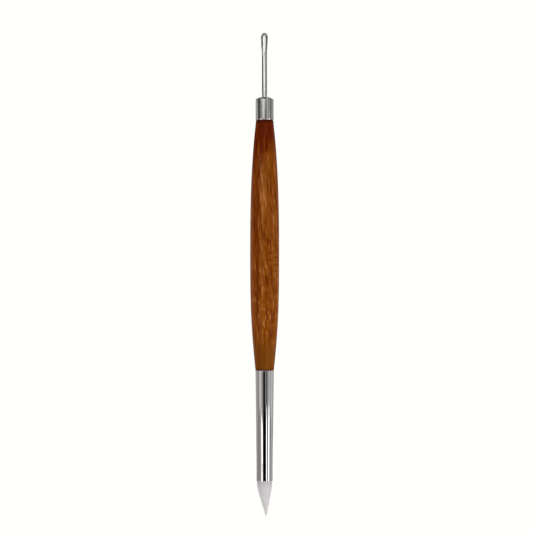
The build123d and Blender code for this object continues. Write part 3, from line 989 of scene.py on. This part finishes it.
# pale table below, broken by dark gaps
BENCH = (
    [(-180, .30), (-170, .20), (-158, .34), (-146, .62), (-141, .80), (-137, 2.20),
     (-120, 2.50), (-116, .80), (-108, .42), (-96, .18), (-86, .12), (-79, .26), (-73, .70),
     (-69, 2.00), (-62, 2.40), (-49, 2.50), (-43, 2.00), (-39, .75), (-33, .48), (-22, .34),
     (-12, .60), (-8, 1.90), (-3, 2.10), (0, 1.00)],
    [(0, 1.00), (2, .55), (8, .17), (15, .10), (22, .32), (27, .60), (30, 2.40), (37, 2.80),
     (40, .75), (47, .40), (54, .56), (59, 1.00), (63, 2.70), (76, 3.10), (88, 2.70),
     (92, .85), (101, .45), (112, .16), (120, .12), (128, .36), (136, .55), (141, 2.40),
     (156, 2.60), (160, .75), (168, .42), (180, .30)],
)
# far side overhead: (share of the way from 15 to 60 degrees up, brightness / TOP)
FAR_LEFT = [(0, .05), (.22, .05), (.47, .06), (.60, .20), (.71, .26), (.78, .48), (.83, .44),
            (1, .15)]
FAR_RIGHT = [(0, .10), (.30, .16), (.47, .16), (.62, .18), (.72, .36), (.77, .14), (.83, .28),
             (1, .15)]
ROSY = (1.055, 1.0, 1.0)


def room_light(tree):
    """The brightness of the room in every direction. Angles are in degrees."""
    x, y, z = tree.put("ShaderNodeTexCoord", output="Generated").split()
    azimuth = tree.math("ARCTAN2", x, y * -1.0) * (180 / math.pi)
    height = tree.math("ARCSINE", z) * (180 / math.pi)
    left_place = azimuth.step(start=-180.0, end=0.0, smooth=False)
    right_place = azimuth.step(start=0.0, end=180.0, smooth=False)
    on_right = tree.math("GREATER_THAN", azimuth, 0.0)

    def wall(sides, top=TOP):
        left = left_place.ramp([((q + 180) / 180, v / top) for q, v in sides[0]])
        right = right_place.ramp([(q / 180, v / top) for q, v in sides[1]])
        return tree.mix(on_right, left, right) * top

    def tone(sides):
        """The same, as one number up to 1."""
        return wall(sides, top=1.0).split()[0]

    low, mid, high, upper, drift = (
        wall(sides) for sides in (LOW_WALL, MID_WALL, HIGH_WALL, UPPER_WALL, DRIFT_WALL))
    upper = tree.mix(height.step(start=5.5, end=6.9), drift, upper)
    brow = wall(BROW_WALL)
    # a rosy cast on the left
    low = tree.mix(on_right, low.scaled(ROSY), low)
    mid = tree.mix(on_right, mid.scaled(ROSY), mid)
    rim = -5.4 - tone(CARD_RIM) * 1.6
    blur = tree.blend(azimuth.near(centre=0.0, half=60.0), 0.18, 0.34)
    light = tree.mix(height.step(start=rim + blur, end=rim - blur), mid, low)
    light = tree.mix(height.step(start=-4.6, end=-1.8), light, high)
    light = tree.mix(height.step(start=5.53, end=5.67), light, upper)
    light = tree.mix(height.step(start=9.3, end=11.8), light, brow)

    # overhead: the softbox in front, patchy on the far side, dim at the zenith
    front = tone(SOFTBOX)
    far_left, far_right = (height.step(start=15.0, end=60.0, smooth=False).ramp(stops)
                           for stops in (FAR_LEFT, FAR_RIGHT))
    far = tree.mix(on_right, far_left, far_right) * TOP
    behind = abs(azimuth).step(start=140.0, end=155.0)
    light = tree.mix(height.step(start=16.3, end=18.0), light,
                     tree.mix(behind, front * 1.35, far))
    dim = tree.mix(0.22, (0.08, 0.08, 0.08), high)
    light = tree.mix(height.step(start=25.0, end=30.0), light, tree.mix(behind, dim, light))
    zenith = tree.mix(0.22, (0.07, 0.07, 0.07), upper)
    light = tree.mix(height.step(start=58.0, end=66.0), light, zenith)

    # below: the table, and its dimmer far edge
    bench = wall(BENCH, top=BENCH_TOP).scaled((1.0, 0.982, 0.982))
    table = tree.mix(height.step(start=-72.0, end=-52.0), (1.50, 1.465, 1.465), bench)
    far_edge = tree.mix(0.50, (0.265, 0.255, 0.255), bench.scaled((0.26, 0.255, 0.255)))
    far_edge = tree.mix(0.12, far_edge, low)
    light = tree.mix(height.step(start=-8.2, end=-9.6), light, far_edge)
    return tree.mix(height.step(start=-17.0, end=-31.0), light, table)


def make_world():
    """Lights the tool with the room, while the camera sees plain paper."""
    world = bpy.data.worlds.new("studio")
    bpy.context.scene.world = world
    tree = Tree(world)
    glow = tree.put("ShaderNodeBackground", {"Color": room_light(tree)})
    paper = tree.put("ShaderNodeBackground", {"Color": PAPER})
    seen = tree.put("ShaderNodeLightPath", output="Is Camera Ray")
    shader = tree.put("ShaderNodeMixShader", {0: seen, 1: glow, 2: paper})
    tree.add("ShaderNodeOutputWorld", {"Surface": shader})


# ---------------------------------------------------------------- floor and camera
FLOOR_HALF = 3.0
FLOOR_GAP = 0.2 * MM        # below the point
SENSOR_WIDTH = 36.0
CAMERA_DISTANCE = 0.600
VIEW_WIDTH = 0.18216        # seen at the tool


def make_floor():
    """A paper-white floor, clear from below, that only the camera sees."""
    mesh = bpy.data.meshes.new("floor")
    z = CAD_LOW.z - FLOOR_GAP
    square = [(-1, -1), (1, -1), (1, 1), (-1, 1)]
    mesh.from_pydata([(x * FLOOR_HALF, y * FLOOR_HALF, z) for x, y in square], [], [(0, 1, 2, 3)])
    floor = add_object("floor", mesh)
    made, tree = new_material("pale_floor")
    shine = tree.put("ShaderNodeEmission", {"Color": PAPER})
    clear = tree.put("ShaderNodeBsdfTransparent")
    below = tree.put("ShaderNodeNewGeometry", output="Backfacing")
    shader = tree.put("ShaderNodeMixShader", {0: below, 1: shine, 2: clear})
    tree.add("ShaderNodeOutputMaterial", {"Surface": shader})
    mesh.materials.append(made)
    for ray in ("diffuse", "glossy", "transmission", "volume_scatter", "shadow"):
        setattr(floor, "visible_" + ray, False)


def make_camera():
    data = bpy.data.cameras.new("camera")
    camera = add_object("camera", data)
    data.sensor_width = SENSOR_WIDTH
    data.lens = SENSOR_WIDTH * CAMERA_DISTANCE / VIEW_WIDTH
    data.clip_start, data.clip_end = 0.01, 20.0
    centre = (CAD_LOW + CAD_HIGH) / 2
    camera.location = (centre.x + 0.63 * MM, centre.y - CAMERA_DISTANCE, centre.z + 2.68 * MM)
    camera.rotation_euler = (math.pi / 2, 0.0, 0.0)
    bpy.context.scene.camera = camera


# ---------------------------------------------------------------- everything together
def give(thing, made):
    thing.data.materials.clear()
    thing.data.materials.append(made)


handle, collar, ferrule, rod, tip = (
    build() for build in (build_handle, build_collar, build_ferrule, build_rod, build_tip))
wood, chrome, nickel, steel, silicone, glue = (
    make() for make in (make_wood, make_chrome, make_nickel, make_steel, make_silicone, make_glue))

# piece, CAD node, slot, material
for piece, node, slot, made in (
    (handle, "handle", "lacquered_hardwood", wood),
    (collar, "collar", "nickel_plate", nickel),
    (ferrule, "long_ferrule", "chrome_plate", chrome),
    (rod, "scoop_rod", "polished_steel", steel),
    (tip, "silicone_tip", "white_silicone", silicone),
):
    give(piece, made)
    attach(piece, BODY)
    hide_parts(node)
for node in ("rod_bond", "collar_bond", "ferrule_bond", "tip_bond"):
    give(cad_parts[node], glue)

view = bpy.context.scene.view_settings
view.view_transform = "Standard"
view.look = "None"
view.exposure = 0.0
view.gamma = 1.0
make_world()
make_floor()
make_camera()
